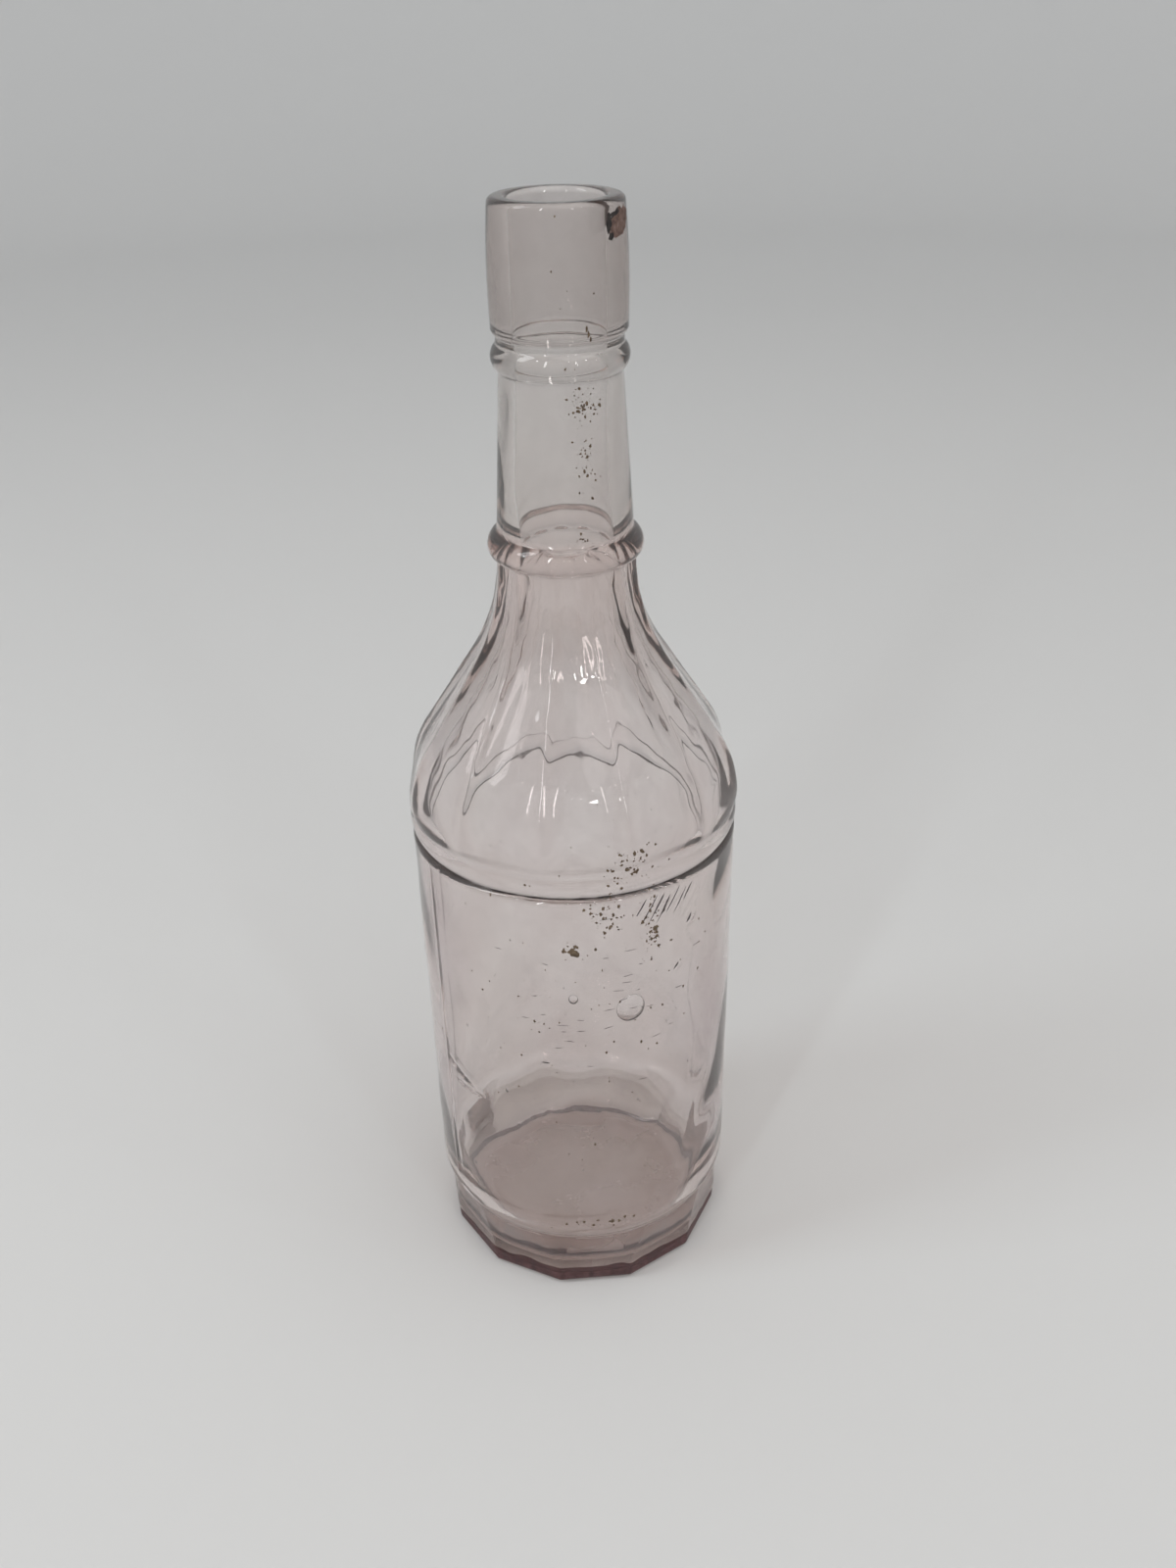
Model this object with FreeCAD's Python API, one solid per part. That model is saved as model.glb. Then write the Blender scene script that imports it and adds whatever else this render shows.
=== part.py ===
import FreeCAD, Part
import math
import os

# Mould-blown glass bottle with a fluted shoulder and a twelve-sided foot.
# Millimetres, +Z up, origin at the centre of the resting plane, front towards -Y.

# Heights above the resting plane, from the foot up to the rim
FACET_TOP = 19.5
HEEL_TOP = 20.5
BODY_EDGE_LOW = 26.0
BODY_EDGE_HIGH = 134.4
BODY_TOP = 136.0
BEAD_TOP = 142.0
SHOULDER_BULGE = 147.0
SHOULDER_TOP = 209.6
LOWER_RING_TOP = 216.6
NECK_TOP = 254.4
UPPER_RING_CREST = 257.5
UPPER_RING_FOOT = 260.6
LIP_FOOT = 262.6
HEIGHT = 292.0

# Outer radii
HEEL_RADIUS = 40.3
BODY_RADIUS_LOW = 42.0
BODY_RADIUS_HIGH = 42.9
BEAD_GROOVE_RADIUS = 42.1
BEAD_RADIUS = 43.3
SHOULDER_RADIUS = 43.8
SHOULDER_NECK_RADIUS = 17.5
LOWER_RING_RADIUS = 19.0
NECK_RADIUS_LOW = 16.6
NECK_RADIUS_HIGH = 14.5
UPPER_RING_RADIUS = 16.1
LIP_GROOVE_RADIUS = 14.8
LIP_FOOT_RADIUS = 15.75
LIP_RADIUS = 15.95
LIP_TOP_RADIUS = 15.3

# Lip shape: where its foot and rim are rounded, and where it is widest
LIP_FOOT_ROUND = 1.9
LIP_WIDEST = 273.0
RIM_ROUND = 1.6
MOUTH_ROUND = 1.4

# Ogee of the shoulder: a hollow curve under the neck, a full curve above the bulge
HOLLOW_CURVE = 48.0
FULL_CURVE = 27.0

# Moulded pattern: flutes of the shoulder and facets of the foot share one division
DIVISIONS = 12
PATTERN_TURN = 18.6
FLUTE_DEPTH_RATIO = 0.055
FLUTE_FADE_TOP = 154.0
FLUTE_SECTIONS = 15
FACET_APOTHEM_LOW = 38.1
FACET_APOTHEM_HIGH = 39.9
FOOT_ROUND = 2.6

# Inside of the bottle
BORE_RADIUS = 10.75
NECK_BORE_LOW = 11.6
SHOULDER_WALL = 4.2
BODY_BORE = 39.4
WALL_FOOT = 40.0
HEEL_BORE = 36.0
CORNER_TOP = 11.0
FLOOR_HEIGHT = 5.5
FLOOR_CROWN = 7.4

# Bottom disc and its push-up
BASE_RADIUS = 30.0
PUSH_UP = 3.6


def point(radius, height):
    """A point of a profile in the plane y = 0."""
    return FreeCAD.Vector(radius, 0, height)


def line(start, end):
    return Part.LineSegment(point(*start), point(*end)).toShape()


def arc(start, middle, end):
    return Part.Arc(point(*start), point(*middle), point(*end)).toShape()


def turned(edges):
    """The solid made by turning a closed profile about the bottle's axis."""
    face = Part.Face(Part.Wire(edges))
    return face.revolve(FreeCAD.Vector(0, 0, 0), FreeCAD.Vector(0, 0, 1), 360)


def turned_blank(outer_edges, low, high):
    """The solid between an outer profile and the axis; low and high are the profile's ends."""
    edges = list(outer_edges)
    edges.append(line(high, (0, high[1])))
    edges.append(line((0, high[1]), (0, low[1])))
    edges.append(line((0, low[1]), low))
    return turned(edges)


def around(radius, degrees, height):
    """A point at a radius and a turn about the axis."""
    turn = math.radians(degrees)
    return FreeCAD.Vector(radius * math.cos(turn), radius * math.sin(turn), height)


class Ogee:
    """Shoulder curve: hollow arc, straight tangent, full arc, then the turn under the bulge."""

    def __init__(self, top_radius, bulge_radius, foot_radius):
        self.hollow_centre = (top_radius + HOLLOW_CURVE, SHOULDER_TOP)
        self.full_centre = (bulge_radius - FULL_CURVE, SHOULDER_BULGE)
        across = self.hollow_centre[0] - self.full_centre[0]
        rise = self.hollow_centre[1] - self.full_centre[1]
        reach = (HOLLOW_CURVE + FULL_CURVE) / math.hypot(across, rise)
        self.slope = math.atan2(rise, across) - math.acos(reach)
        drop = bulge_radius - foot_radius
        height = SHOULDER_BULGE - BEAD_TOP
        self.turn_curve = (height ** 2 + drop ** 2) / (2 * drop)
        self.bulge_radius = bulge_radius

    def radius(self, height):
        lean = math.sin(self.slope)
        if height >= self.hollow_centre[1] - HOLLOW_CURVE * lean:
            below = self.hollow_centre[1] - height
            return self.hollow_centre[0] - math.sqrt(HOLLOW_CURVE ** 2 - below ** 2)
        if height >= self.full_centre[1] + FULL_CURVE * lean:
            start_radius = self.full_centre[0] + FULL_CURVE * math.cos(self.slope)
            start_height = self.full_centre[1] + FULL_CURVE * lean
            return start_radius - (height - start_height) * math.tan(self.slope)
        above = height - SHOULDER_BULGE
        if above >= 0:
            return self.full_centre[0] + math.sqrt(FULL_CURVE ** 2 - above ** 2)
        return self.bulge_radius - self.turn_curve + math.sqrt(self.turn_curve ** 2 - above ** 2)


OUTER_OGEE = Ogee(SHOULDER_NECK_RADIUS, SHOULDER_RADIUS, BEAD_GROOVE_RADIUS)


def flute_depth(height):
    """How far a flute's middle lies inside its ridges; it fades out towards the bead."""
    share = (height - BEAD_TOP) / (FLUTE_FADE_TOP - BEAD_TOP)
    share = min(1.0, max(0.0, share))
    fade = share * share * (3 - 2 * share)
    return FLUTE_DEPTH_RATIO * OUTER_OGEE.radius(height) * fade


def fluted_section(height):
    """A level section of the shoulder: one arc for each flute, ridge to ridge."""
    step = 360.0 / DIVISIONS
    ridge = OUTER_OGEE.radius(height)
    middle = ridge - flute_depth(height)
    edges = []
    for index in range(DIVISIONS):
        start = PATTERN_TURN + index * step
        edges.append(Part.Arc(around(ridge, start, height),
                              around(middle, start + step / 2, height),
                              around(ridge, start + step, height)).toShape())
    return Part.Wire(edges)


def fluted_blank():
    rise = (SHOULDER_TOP - BEAD_TOP) / (FLUTE_SECTIONS - 1)
    sections = [fluted_section(BEAD_TOP + index * rise) for index in range(FLUTE_SECTIONS)]
    return Part.makeLoft(sections, True, False)


def foot_of_cavity():
    """The wall drawn in above the foot, then the round corner down to the crowned floor."""
    drawn_in = BODY_BORE - HEEL_BORE
    rise = WALL_FOOT - CORNER_TOP
    wall_curve = (rise ** 2 + drawn_in ** 2) / (2 * drawn_in)
    wall_turn = math.asin(rise / wall_curve)
    corner_curve = (CORNER_TOP - FLOOR_HEIGHT) / (1 - math.sin(wall_turn))
    flat_radius = HEEL_BORE - corner_curve * math.cos(wall_turn)
    corner_turn = (wall_turn + math.pi / 2) / 2
    corner_middle = (flat_radius + corner_curve * math.cos(corner_turn),
                     FLOOR_HEIGHT + corner_curve * (1 - math.sin(corner_turn)))
    wall_middle = (BODY_BORE - wall_curve * (1 - math.cos(wall_turn / 2)),
                   WALL_FOOT - wall_curve * math.sin(wall_turn / 2))
    return [
        line((0, FLOOR_CROWN), (flat_radius, FLOOR_HEIGHT)),
        arc((flat_radius, FLOOR_HEIGHT), corner_middle, (HEEL_BORE, CORNER_TOP)),
        arc((HEEL_BORE, CORNER_TOP), wall_middle, (BODY_BORE, WALL_FOOT)),
    ]


def cavity():
    """The hollow of the bottle, from the crowned floor out through the mouth."""
    inner = Ogee(NECK_BORE_LOW, SHOULDER_RADIUS - SHOULDER_WALL, BODY_BORE)
    lean = math.sin(inner.slope)
    full_end = SHOULDER_BULGE + FULL_CURVE * lean
    hollow_end = SHOULDER_TOP - HOLLOW_CURVE * lean

    def at(height):
        return (inner.radius(height), height)

    mouth = (BORE_RADIUS + MOUTH_ROUND, HEIGHT)
    mouth_middle = (BORE_RADIUS + MOUTH_ROUND * (1 - math.sqrt(0.5)),
                    HEIGHT - MOUTH_ROUND * (1 - math.sqrt(0.5)))
    bore_top = (BORE_RADIUS, HEIGHT - MOUTH_ROUND)
    bore_foot = (BORE_RADIUS, LIP_FOOT)
    return turned(foot_of_cavity() + [
        line((BODY_BORE, WALL_FOOT), (BODY_BORE, BEAD_TOP)),
        arc((BODY_BORE, BEAD_TOP), at((BEAD_TOP + SHOULDER_BULGE) / 2), at(SHOULDER_BULGE)),
        arc(at(SHOULDER_BULGE), at((SHOULDER_BULGE + full_end) / 2), at(full_end)),
        line(at(full_end), at(hollow_end)),
        arc(at(hollow_end), at((hollow_end + SHOULDER_TOP) / 2), at(SHOULDER_TOP)),
        line(at(SHOULDER_TOP), bore_foot),
        line(bore_foot, bore_top),
        arc(bore_top, mouth_middle, mouth),
        line(mouth, (0, HEIGHT)),
        line((0, HEIGHT), (0, FLOOR_CROWN)),
    ])


def foot_blank():
    """Round foot with its flats, leaning in towards the floor, and a rounded lower edge."""
    step = 360.0 / DIVISIONS
    corner_share = 1 / math.cos(math.radians(step / 2))
    levels = ((0.0, FACET_APOTHEM_LOW), (FACET_TOP, FACET_APOTHEM_HIGH))
    rings = []
    for height, apothem in levels:
        corners = [around(apothem * corner_share, PATTERN_TURN + index * step, height)
                   for index in range(DIVISIONS)]
        rings.append(Part.makePolygon(corners + corners[:1]))
    facets = Part.makeLoft(rings, True, True)
    lower_edges = [edge for edge in facets.Edges
                   if edge.BoundBox.ZMax < FOOT_ROUND * 0.1]
    facets = facets.makeFillet(FOOT_ROUND, lower_edges)
    foot = facets.common(Part.makeCylinder(HEEL_RADIUS, FACET_TOP))
    collar = Part.makeCylinder(HEEL_RADIUS, HEEL_TOP - FACET_TOP, FreeCAD.Vector(0, 0, FACET_TOP))
    return foot.fuse(collar).removeSplitter()


def base_blank():
    """Disc inside the foot, hollowed below by the shallow push-up."""
    dome = (PUSH_UP ** 2 + BASE_RADIUS ** 2) / (2 * PUSH_UP)
    half = BASE_RADIUS / 2
    half_height = PUSH_UP - dome + math.sqrt(dome ** 2 - half ** 2)
    return turned([
        arc((0, PUSH_UP), (half, half_height), (BASE_RADIUS, 0)),
        line((BASE_RADIUS, 0), (BASE_RADIUS, HEEL_TOP)),
        line((BASE_RADIUS, HEEL_TOP), (0, HEEL_TOP)),
        line((0, HEEL_TOP), (0, PUSH_UP)),
    ])


def heel_blank():
    return foot_blank().cut(Part.makeCylinder(BASE_RADIUS, HEEL_TOP))


def body_blank():
    low = (HEEL_RADIUS, HEEL_TOP)
    edge_low = (BODY_RADIUS_LOW, BODY_EDGE_LOW)
    edge_high = (BODY_RADIUS_HIGH, BODY_EDGE_HIGH)
    high = (BEAD_GROOVE_RADIUS, BODY_TOP)
    low_middle = ((low[0] + 2 * edge_low[0]) / 3, (2 * low[1] + edge_low[1]) / 3)
    high_middle = ((high[0] + 2 * edge_high[0]) / 3, (2 * high[1] + edge_high[1]) / 3)
    edges = [arc(low, low_middle, edge_low), line(edge_low, edge_high), arc(edge_high, high_middle, high)]
    return turned_blank(edges, low, high)


def ring_blank(low, crest, high):
    """A bead ring whose outline is one arc through its crest."""
    return turned_blank([arc(low, crest, high)], low, high)


def bead_blank():
    return ring_blank((BEAD_GROOVE_RADIUS, BODY_TOP),
                      (BEAD_RADIUS, (BODY_TOP + BEAD_TOP) / 2),
                      (BEAD_GROOVE_RADIUS, BEAD_TOP))


def lower_ring_blank():
    return ring_blank((SHOULDER_NECK_RADIUS, SHOULDER_TOP),
                      (LOWER_RING_RADIUS, (SHOULDER_TOP + LOWER_RING_TOP) / 2),
                      (NECK_RADIUS_LOW, LOWER_RING_TOP))


def neck_blank():
    low = (NECK_RADIUS_LOW, LOWER_RING_TOP)
    high = (NECK_RADIUS_HIGH, NECK_TOP)
    return turned_blank([line(low, high)], low, high)


def upper_ring_blank():
    low = (NECK_RADIUS_HIGH, NECK_TOP)
    foot = (LIP_GROOVE_RADIUS, UPPER_RING_FOOT)
    high = (LIP_GROOVE_RADIUS, LIP_FOOT)
    edges = [arc(low, (UPPER_RING_RADIUS, UPPER_RING_CREST), foot), line(foot, high)]
    return turned_blank(edges, low, high)


def lip_blank():
    low = (LIP_GROOVE_RADIUS, LIP_FOOT)
    side_low = (LIP_FOOT_RADIUS, LIP_FOOT + LIP_FOOT_ROUND)
    side_high = (LIP_TOP_RADIUS, HEIGHT - RIM_ROUND)
    rim = (LIP_TOP_RADIUS - RIM_ROUND, HEIGHT)
    tuck = 1 - math.sqrt(0.5)
    foot_middle = (LIP_FOOT_RADIUS - tuck * (LIP_FOOT_RADIUS - LIP_GROOVE_RADIUS),
                   LIP_FOOT + tuck * LIP_FOOT_ROUND)
    rim_middle = (LIP_TOP_RADIUS - tuck * RIM_ROUND, HEIGHT - tuck * RIM_ROUND)
    edges = [arc(low, foot_middle, side_low),
             arc(side_low, (LIP_RADIUS, LIP_WIDEST), side_high),
             arc(side_high, rim_middle, rim)]
    return turned_blank(edges, low, rim)


BLANKS = {
    "base": base_blank,
    "faceted_heel": heel_blank,
    "body": body_blank,
    "shoulder_bead": bead_blank,
    "fluted_shoulder": fluted_blank,
    "lower_neck_ring": lower_ring_blank,
    "neck": neck_blank,
    "upper_neck_ring": upper_ring_blank,
    "lip": lip_blank,
}


def main():
    os.makedirs("parts", exist_ok=True)
    hollow = cavity()
    for name, blank in BLANKS.items():
        solid = blank().cut(hollow)
        solid.exportStep(os.path.join("parts", name + ".step"))
        box = solid.BoundBox
        print(name, len(solid.Solids), solid.isValid(), round(solid.Volume / 1000, 2), "ml",
              "z", round(box.ZMin, 2), round(box.ZMax, 2), "across", round(box.XLength, 2))
    print("capacity", round(hollow.Volume / 1000, 1), "ml")


main()
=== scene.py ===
from math import acos, asin, atan2, copysign, cos, hypot, pi, radians, sin, sqrt, tan, tau

import bpy
import numpy as np
from mathutils import Matrix, Vector


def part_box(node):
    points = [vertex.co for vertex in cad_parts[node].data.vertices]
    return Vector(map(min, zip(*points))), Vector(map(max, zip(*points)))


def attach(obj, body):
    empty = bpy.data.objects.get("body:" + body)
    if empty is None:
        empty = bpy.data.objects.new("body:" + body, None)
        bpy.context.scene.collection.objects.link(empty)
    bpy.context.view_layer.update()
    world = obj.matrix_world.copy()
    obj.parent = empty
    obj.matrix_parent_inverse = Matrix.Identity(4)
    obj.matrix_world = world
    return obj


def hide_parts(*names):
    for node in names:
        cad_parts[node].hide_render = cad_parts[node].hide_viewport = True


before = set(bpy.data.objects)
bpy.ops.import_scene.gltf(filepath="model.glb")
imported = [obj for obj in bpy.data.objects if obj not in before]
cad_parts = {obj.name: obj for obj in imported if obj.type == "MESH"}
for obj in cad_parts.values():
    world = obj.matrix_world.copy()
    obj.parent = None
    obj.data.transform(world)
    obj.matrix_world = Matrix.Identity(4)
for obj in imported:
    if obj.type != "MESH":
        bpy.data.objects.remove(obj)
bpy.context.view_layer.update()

# The bottle is drawn in millimetres in the shared frame and scaled to metres when a mesh is made.
MM = 0.001
SLOT = "amethyst_glass"


def top_of(name):
    """Height of a CAD node's upper end above the resting plane, in millimetres."""
    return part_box(name)[1].z / MM


# Heights above the resting plane
FACET_TOP = 19.5
HEEL_TOP = top_of("faceted_heel")
BODY_EDGE_LOW = 26.0
BODY_EDGE_HIGH = 134.6
BODY_TOP = top_of("body")
BEAD_CREST = 139.2
BEAD_TOP = top_of("shoulder_bead")
SHOULDER_BULGE = 147.0
SHOULDER_TOP = top_of("fluted_shoulder")
LOWER_RING_TOP = top_of("lower_neck_ring")
NECK_TOP = top_of("neck")
UPPER_RING_CREST = 257.5
UPPER_RING_FOOT = 260.6
LIP_FOOT = top_of("upper_neck_ring")
HEIGHT = top_of("lip")

# Outer radii
HEEL_RADIUS = 40.3
BODY_RADIUS_LOW = 42.0
BODY_RADIUS_HIGH = 42.9
LOWER_GROOVE_RADIUS = 41.6
UPPER_GROOVE_RADIUS = 42.6
BEAD_RADIUS = 43.1
SHOULDER_RADIUS = 43.6
SHOULDER_NECK_RADIUS = 17.5
LOWER_RING_RADIUS = 19.0
NECK_RADIUS_LOW = 16.6
NECK_RADIUS_HIGH = 14.5
UPPER_RING_RADIUS = 16.1
LIP_GROOVE_RADIUS = 14.8
LIP_FOOT_RADIUS = 15.75
LIP_RADIUS = 15.95
LIP_TOP_RADIUS = 15.3

# Lip
LIP_FOOT_ROUND = 1.9
LIP_WIDEST = 273.0
RIM_ROUND = 1.6
MOUTH_ROUND = 1.4

# Ogee of the shoulder
HOLLOW_CURVE = 48.0
FULL_CURVE = 27.0

# Moulded pattern; the flats end in an edge that reaches that far below and above its height
DIVISIONS = 12
PATTERN_TURN = 18.6
FLUTE_DEPTH_RATIO = 0.05
FLUTE_FADE_TOP = 154.0
FLUTE_RUN_OUT = 1.2
RIDGE_ROUND = 0.9
INNER_FLUTE_SHARE = 0.6
INNER_RIDGE_ROUND = 4.5
INNER_FLUTE_FADE = 20.0
FACET_APOTHEM_LOW = 38.1
FACET_APOTHEM_HIGH = 39.9
FACET_EDGE = (0.25, 0.3)
FACET_EDGE_SLOPE = 0.12
FOOT_ROUND = 2.6

# Inside
BORE_RADIUS = 10.75
NECK_BORE_LOW = 11.6
SHOULDER_WALL = 3.3
BODY_BORE = 39.4
WALL_FOOT = 40.0
HEEL_BORE = 36.0
CORNER_TOP = 11.0
FLOOR_HEIGHT = 5.5
FLOOR_CROWN = 7.4
INNER_FACET_TOP = 24.0
INNER_FACET_ROUND = 2.0
BASE_RADIUS = 30.0
PUSH_UP = 3.6

# Mesh: columns around the axis, gap kept between neighbouring pieces, innermost ring of the base, depth
# below which a hollow counts as flat, and a length near 0 that keeps divisions safe
COLUMNS = 480
PIECE_GAP = 0.02
POLE_RADIUS = 0.6
NEARLY_FLAT = 1e-4
TINY = 1e-12

# Unevenness of mould-blown glass, root mean square depth
OUTER_WAVE = 0.05
SHOULDER_RIPPLE = 0.02
INNER_WAVE = 0.16
NECK_INNER_WAVE = 0.10
TOOL_MARK = 0.012

# Heights over which the outer waves grow above the heel and weaken above the body by that share, over
# which the shoulder's ripple grows and fades, and over which the body's marks do
WAVE_GROWTH = 12
WAVE_FADE = 30
WAVE_LOSS = 0.7
RIPPLE_FADES = (8, 5)
MARK_FADES = (3, 2)

ANGLE_STEP = tau / COLUMNS
ANGLES = radians(PATTERN_TURN) + np.arange(COLUMNS) * ANGLE_STEP

# Turn of each column of the mesh from the middle of its flute or flat
HALF_DIVISION = pi / DIVISIONS
OFF_MIDDLE = (ANGLES - radians(PATTERN_TURN)) % (2 * HALF_DIVISION) - HALF_DIVISION


def smooth_step(share):
    share = np.clip(share, 0.0, 1.0)
    return share * share * (3 - 2 * share)


def arc_through(start, middle, end, count):
    """Points (radius, height) along the circle through three points, worked out as complex numbers."""
    first, second, third = (complex(*point) for point in (start, middle, end))
    ratio = (third - first) / (second - first)
    centre = first + (second - first) * (ratio - abs(ratio) ** 2) / (ratio - ratio.conjugate())
    turn_middle, turn_end = (np.angle((point - centre) / (first - centre)) % tau
                             for point in (second, third))
    if turn_middle > turn_end:
        turn_end -= tau
    points = centre + (first - centre) * np.exp(1j * np.linspace(0, turn_end, count))
    return list(zip(points.real, points.imag))


def corner_arc(start, corner, end):
    """A quarter turn from start to end, inside the corner where its two sides would meet."""
    tuck = 1 - sqrt(0.5)
    middle = [at + tuck * (before + after - 2 * at) for before, at, after in zip(start, corner, end)]
    return arc_through(start, middle, end, 10)


def arc_radius(depth, half_width):
    """Radius of the arc that is that deep over that half width."""
    return (half_width ** 2 + depth ** 2) / (2 * depth)


def straight(start, end, count):
    return list(np.linspace(start, end, count))


def joined(*stretches):
    """One list of profile points from stretches that meet end to end."""
    points = list(stretches[0])
    for stretch in stretches[1:]:
        points.extend(stretch[1:])
    return points


class Ogee:
    """Shoulder curve: hollow arc, straight tangent, full arc, then the turn under the bulge."""

    def __init__(self, top_radius, bulge_radius, foot_radius):
        self.hollow_centre = top_radius + HOLLOW_CURVE
        self.full_centre = bulge_radius - FULL_CURVE
        across, rise = self.hollow_centre - self.full_centre, SHOULDER_TOP - SHOULDER_BULGE
        reach = (HOLLOW_CURVE + FULL_CURVE) / hypot(across, rise)
        self.slope = atan2(rise, across) - acos(reach)
        self.turn_curve = arc_radius(bulge_radius - foot_radius, SHOULDER_BULGE - BEAD_TOP)
        self.turn_centre = bulge_radius - self.turn_curve

    def radius(self, height):
        lean = sin(self.slope)
        below, above = SHOULDER_TOP - height, height - SHOULDER_BULGE
        if below <= HOLLOW_CURVE * lean:
            return self.hollow_centre - sqrt(HOLLOW_CURVE ** 2 - below ** 2)
        if above >= FULL_CURVE * lean:
            start = self.full_centre + FULL_CURVE * cos(self.slope)
            return start - (above - FULL_CURVE * lean) * tan(self.slope)
        if above >= 0:
            return self.full_centre + sqrt(FULL_CURVE ** 2 - above ** 2)
        return self.turn_centre + sqrt(self.turn_curve ** 2 - above ** 2)


OUTER_OGEE = Ogee(SHOULDER_NECK_RADIUS, SHOULDER_RADIUS, UPPER_GROOVE_RADIUS)
INNER_OGEE = Ogee(NECK_BORE_LOW, SHOULDER_RADIUS - SHOULDER_WALL, BODY_BORE)


class InnerFoot:
    """The hollow's foot: the wall drawn in towards the heel, then a round corner down to the floor."""

    def __init__(self):
        rise = WALL_FOOT - CORNER_TOP
        self.wall_curve = arc_radius(BODY_BORE - HEEL_BORE, rise)
        self.wall_turn = asin(rise / self.wall_curve)
        self.corner_curve = (CORNER_TOP - FLOOR_HEIGHT) / (1 - sin(self.wall_turn))
        self.flat_radius = HEEL_BORE - self.corner_curve * cos(self.wall_turn)
        self.base_turn = acos((BASE_RADIUS - self.flat_radius) / self.corner_curve)

    def wall_radius(self, height):
        below = WALL_FOOT - height
        return BODY_BORE - self.wall_curve + sqrt(self.wall_curve ** 2 - below ** 2)

    def corner(self, turn):
        """Radius and height on the corner; a quarter turn is at the floor."""
        return (self.flat_radius + self.corner_curve * cos(turn),
                FLOOR_HEIGHT + self.corner_curve * (1 - sin(turn)))


INNER_FOOT = InnerFoot()


class Waves:
    """Smooth unevenness around and along the bottle: a sum of slow waves of random phase."""

    def __init__(self, seed, count, most_lobes, shortest, longest):
        draw = np.random.RandomState(seed)
        self.lobes = draw.randint(1, most_lobes + 1, count)
        self.pitch = tau / draw.uniform(shortest, longest, count)
        self.pitch *= draw.choice((-1, 1), count)
        self.phase = draw.uniform(0, tau, count)
        self.share = sqrt(2 / count)

    def depth(self, height):
        waves = np.cos(np.outer(self.lobes, ANGLES) + (self.pitch * height + self.phase)[:, None])
        return self.share * waves.sum(axis=0)


OUTER_WAVES = Waves(seed=11, count=26, most_lobes=16, shortest=16, longest=80)
RIPPLES = Waves(seed=23, count=60, most_lobes=48, shortest=5, longest=14)
INNER_WAVES = Waves(seed=29, count=22, most_lobes=7, shortest=24, longest=110)


def flute_share(height):
    """How fully the flutes are formed at a level: they fade out in round arches above the bead."""
    return smooth_step((height - BEAD_TOP) / (FLUTE_FADE_TOP - BEAD_TOP))


def hollowed(ridge, depth):
    """Radii around one level with a hollow arc, that deep in its middle, between each two ridges."""
    chord = ridge * cos(HALF_DIVISION)
    middle = ridge - depth
    if abs(middle - chord) < NEARLY_FLAT:
        return chord / np.cos(OFF_MIDDLE)
    centre = (middle ** 2 - ridge ** 2) / (2 * (middle - chord))
    root = np.sqrt(np.maximum((middle - centre) ** 2 - (centre * np.sin(OFF_MIDDLE)) ** 2, 0))
    return centre * np.cos(OFF_MIDDLE) + copysign(1.0, middle - centre) * root


def softened(radii, spread):
    """Radii around one level with every ridge rounded over that turn, in radians."""
    harmonics = np.arange(COLUMNS // 2 + 1)
    return np.fft.irfft(np.fft.rfft(radii) * np.exp(-0.5 * (harmonics * spread) ** 2), COLUMNS)


def fluted_radius(height):
    ridge = OUTER_OGEE.radius(height)
    return softened(hollowed(ridge, FLUTE_DEPTH_RATIO * flute_share(height) * ridge), RIDGE_ROUND / ridge)


def inner_fluted_radius(ridge, share):
    """Radii of the hollow under the flutes, which show through the glass more softly."""
    depth = INNER_FLUTE_SHARE * FLUTE_DEPTH_RATIO * share * ridge
    return softened(hollowed(ridge, depth), INNER_RIDGE_ROUND / ridge)


def facet_radius(height):
    """Radii around one level of the foot: flats inside a round heel, with a rounded lower edge."""
    lean = (FACET_APOTHEM_HIGH - FACET_APOTHEM_LOW) / FACET_TOP
    tuck = FOOT_ROUND - sqrt(max(FOOT_ROUND ** 2 - max(FOOT_ROUND - height, 0) ** 2, 0))
    apothem = FACET_APOTHEM_LOW + lean * height - tuck
    return np.minimum(HEEL_RADIUS, apothem / np.cos(OFF_MIDDLE))


# Marks left in the outside of the body; an azimuth is in degrees from the front, positive to the right
SEAM_AZIMUTHS = (-60.0, 120.0)
SEAM_HEIGHT = 0.18
SEAM_WIDTH = 0.6
CHILL_PLACE = (31.0, 130.5)
CHILL_SPREAD = (7.5, 4.0)
CHILL_PITCH = 3.2
CHILL_LEAN = 0.8
CHILL_DEPTH = 0.3
CRESCENTS = ((41.8, 122.9, 1.5), (36.2, 109.9, 1.2))
CRESCENT_DEPTH = 0.22
CRESCENT_WIDTH = 0.35
CREASE_LINES = (((-61.0, 73.0), (-38.4, 66.4)), ((-54.0, 66.5), (-38.4, 66.4)))
CREASE_DEPTH = 0.34
CREASE_WIDTH = 0.6
CREASE_START = 0.04
BODY_RADIUS = (BODY_RADIUS_LOW + BODY_RADIUS_HIGH) / 2


def turn_at(azimuth):
    """Turn about the axis, in radians, of an azimuth."""
    return radians(azimuth - 90)


def points_at(radius, turn, height):
    """Points from their distances from the axis, turns about it and heights."""
    return np.stack(np.broadcast_arrays(radius * np.cos(turn), radius * np.sin(turn), height), axis=-1)


def around(radius, azimuth, height):
    """The point at that distance from the axis, azimuth and height."""
    return points_at(radius, turn_at(azimuth), height)


def turn_from(azimuth):
    """Turn about the axis, from an azimuth at the front, to each column of the mesh."""
    return (ANGLES - turn_at(azimuth) + pi) % tau - pi


def across_from(azimuth):
    """Distance along the body's surface from an azimuth to each column."""
    return BODY_RADIUS * turn_from(azimuth)


def seam_mark():
    """The fine ridge where two halves of the mould met."""
    ridges = [np.exp(-(across_from(azimuth) / SEAM_WIDTH) ** 2) for azimuth in SEAM_AZIMUTHS]
    return SEAM_HEIGHT * sum(ridges)


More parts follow.
